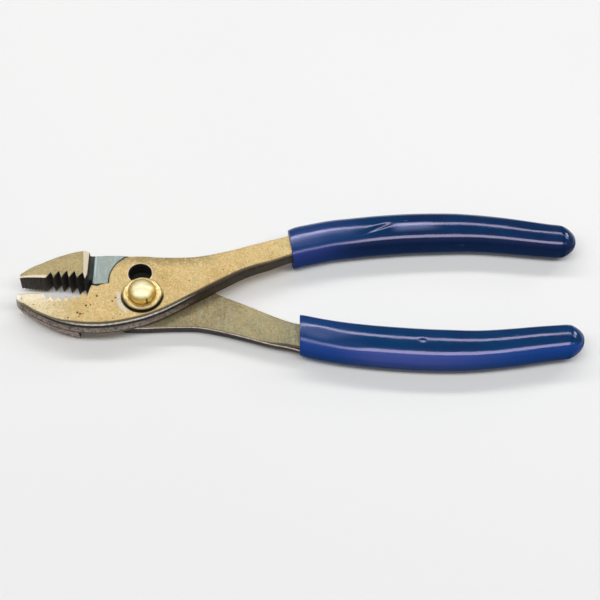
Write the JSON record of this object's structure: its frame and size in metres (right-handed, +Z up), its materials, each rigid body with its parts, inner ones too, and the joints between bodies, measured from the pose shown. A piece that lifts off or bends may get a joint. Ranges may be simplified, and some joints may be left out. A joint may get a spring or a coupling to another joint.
{
  "type": "slip joint pliers",
  "caption": "Hand pliers with serrated and toothed jaws, a two-hole slip joint on a domed pivot pin and long bowed handles in dipped sleeves.",
  "frame": {"origin": "pivot axis, on the flat back of the pin and nut, in the plane that the tool rests on", "axes": "+X along the tool from the jaws to the handle ends, +Y across it towards the upper jaw and handle, +Z up out of the front face, along the pivot pin towards its domed head"},
  "size_m": [0.2016, 0.0662, 0.0168],
  "materials": {
    "front_bronze": "matte forged bronze, mottled and pitted",
    "rear_bronze": "dull forged bronze",
    "pin_brass": "polished",
    "washer_brass": "worn satin",
    "nut_bronze": "dull",
    "blue_sleeve": "glossy dipped vinyl"
  },
  "bodies": {
    "rear": {"rear_half": "rear_bronze", "pivot_pin": "pin_brass", "pivot_nut": "nut_bronze", "lower_grip": "blue_sleeve"},
    "washer": {"pivot_washer": "washer_brass"},
    "front": {"front_half": "front_bronze", "upper_grip": "blue_sleeve"}
  },
  "joints": [
    {"name": "jaw_pivot", "type": "hinge", "parent": "rear", "child": "washer", "pos_m": [0, 0, 0.0058], "axis": [0, 0, 1], "range_deg": [-8.5, 40]},
    {"name": "slip", "type": "slide", "parent": "washer", "child": "front", "axis": [0.1357, -0.9907, 0], "range_m": [0, 0.0096]}
  ]
}
